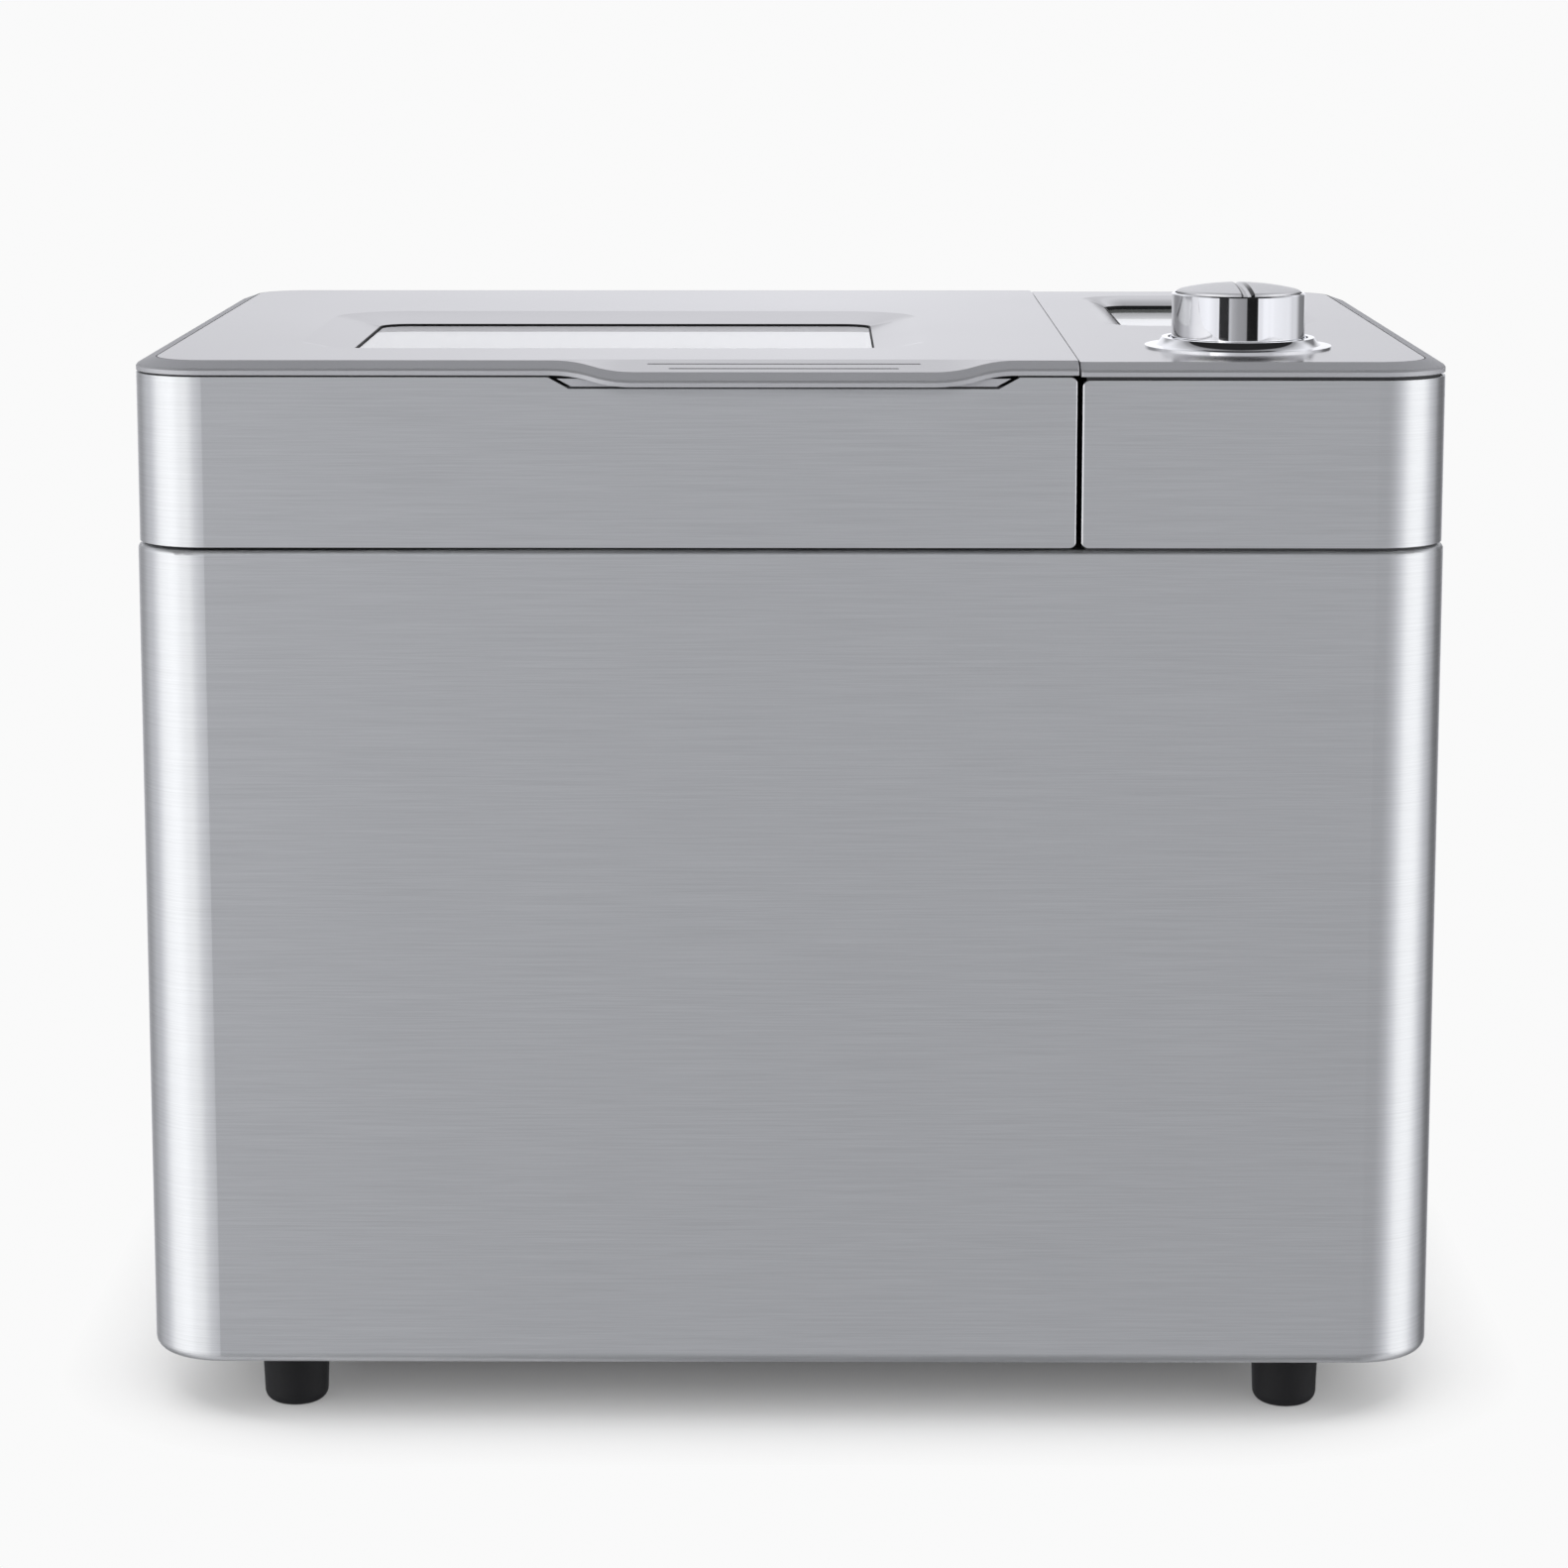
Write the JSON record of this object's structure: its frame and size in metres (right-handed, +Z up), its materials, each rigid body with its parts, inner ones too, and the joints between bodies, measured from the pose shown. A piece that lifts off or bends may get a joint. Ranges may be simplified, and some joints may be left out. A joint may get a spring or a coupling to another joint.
{
  "type": "bread machine",
  "caption": "Free-standing stainless bread machine with a hinged windowed lid, lift-out pan and paddle, belt drive, display and press-to-confirm control knob.",
  "frame": {"origin": "centre of the bounding box's footprint, on the surface that the feet stand on", "axes": "+X to the user's right across the front, +Y to the rear, +Z up"},
  "size_m": [0.381, 0.284, 0.3347],
  "materials": {
    "brushed_steel": "horizontal brushed grain",
    "silver_trim": "satin silver paint",
    "silver_plate": "fine satin",
    "chrome": "polished",
    "brushed_cap": "spun brushed",
    "black_rubber": "matte",
    "silicone": "matte",
    "dark_plastic": "fine texture",
    "oven_steel": "rolled sheet",
    "heater_sheath": "heat-dulled",
    "nonstick": "satin coating",
    "cast_alloy": "as cast",
    "steel": "plain",
    "bronze": "sintered",
    "copper": "enamelled wire",
    "laminations": "stacked sheet",
    "clear_glass": "clear",
    "display_gloss": "smoked gloss",
    "display_back": "matte",
    "circuit_board": "solder mask"
  },
  "bodies": {
    "body": {"casing": "brushed_steel", "base_plate": "dark_plastic", "feet": "black_rubber", "cord_gland": "dark_plastic", "top_deck": "dark_plastic", "baking_chamber": "oven_steel", "heating_element": "heater_sheath", "heater_clips": "oven_steel", "temperature_sensor": "heater_sheath", "heat_shield": "oven_steel", "pan_seat": "cast_alloy", "bearing_housing": "cast_alloy", "drive_bushes": "bronze", "drive_belt": "black_rubber", "motor_stator": "laminations", "motor_coils": "copper", "motor_bells": "steel", "motor_bracket": "steel", "motor_grommets": "black_rubber", "power_board": "circuit_board", "power_components": "display_back", "hinge_brackets": "steel", "control_band": "brushed_steel", "control_rim": "silver_trim", "control_top_plate": "silver_plate", "control_frame": "dark_plastic", "control_board": "circuit_board", "display_lens": "display_gloss", "display_gasket": "black_rubber", "display_module": "display_back", "encoder_body": "display_back", "knob_base": "chrome"},
    "lid": {"lid_band": "brushed_steel", "lid_rim": "silver_trim", "lid_top_plate": "silver_plate", "grip_insert": "silver_trim", "lid_frame": "dark_plastic", "lid_liner": "oven_steel", "lid_seal": "silicone", "window_glass": "clear_glass", "window_gasket": "black_rubber", "inner_glass": "clear_glass", "hinge_pins": "steel"},
    "pan": {"bread_pan": "nonstick", "pan_base": "cast_alloy", "pan_bush": "bronze", "pan_ears": "steel"},
    "handle": {"pan_handle": "steel"},
    "paddle_drive": {"paddle_shaft": "steel", "pan_coupling": "cast_alloy"},
    "paddle": {"kneading_paddle": "nonstick"},
    "drive": {"drive_shaft": "steel", "drive_coupling": "cast_alloy", "driven_pulley": "cast_alloy"},
    "rotor": {"motor_rotor": "laminations", "motor_pulley": "cast_alloy"},
    "plunger": {"switch_plunger": "display_back"},
    "knob": {"encoder_shaft": "steel", "knob_ring": "chrome", "knob_cap": "brushed_cap"}
  },
  "joints": [
    {"name": "lid_hinge", "type": "hinge", "parent": "body", "child": "lid", "pos_m": [-0.05368, 0.1305, 0.2736], "axis": [-1, 0, 0], "range_deg": [0, 92]},
    {"name": "pan_lift", "type": "slide", "parent": "body", "child": "pan", "axis": [0, 0, 1], "range_m": [0, 0.06]},
    {"name": "handle_swing", "type": "hinge", "parent": "pan", "child": "handle", "pos_m": [-0.05368, -0.01025, 0.2208], "axis": [-1, 0, 0], "range_deg": [0, 180]},
    {"name": "drive_spin", "type": "hinge", "parent": "body", "child": "drive", "pos_m": [-0.05368, -0.01025, 0.045], "axis": [0, 0, 1], "continuous": true},
    {"name": "motor_spin", "type": "hinge", "parent": "body", "child": "rotor", "pos_m": [0.11803, -0.01025, 0.07], "axis": [0, 0, 1], "continuous": true},
    {"name": "paddle_spin", "type": "hinge", "parent": "pan", "child": "paddle_drive", "pos_m": [-0.05368, -0.01025, 0.09], "axis": [0, 0, 1], "continuous": true},
    {"name": "paddle_lift", "type": "slide", "parent": "paddle_drive", "child": "paddle", "axis": [0, 0, 1], "range_m": [0, 0.036]},
    {"name": "knob_press", "type": "slide", "parent": "body", "child": "plunger", "axis": [0, 0, -1], "range_m": [0, 0.001], "stiffness_N_per_m": 1500, "springref_m": -0.002},
    {"name": "knob_turn", "type": "hinge", "parent": "plunger", "child": "knob", "pos_m": [0.13337, -0.0795, 0.32], "axis": [0, 0, 1], "continuous": true}
  ],
  "couplings": [
    {"joint": "motor_spin", "follows": "drive_spin", "ratio": 5},
    {"joint": "paddle_spin", "follows": "drive_spin", "ratio": 1}
  ]
}
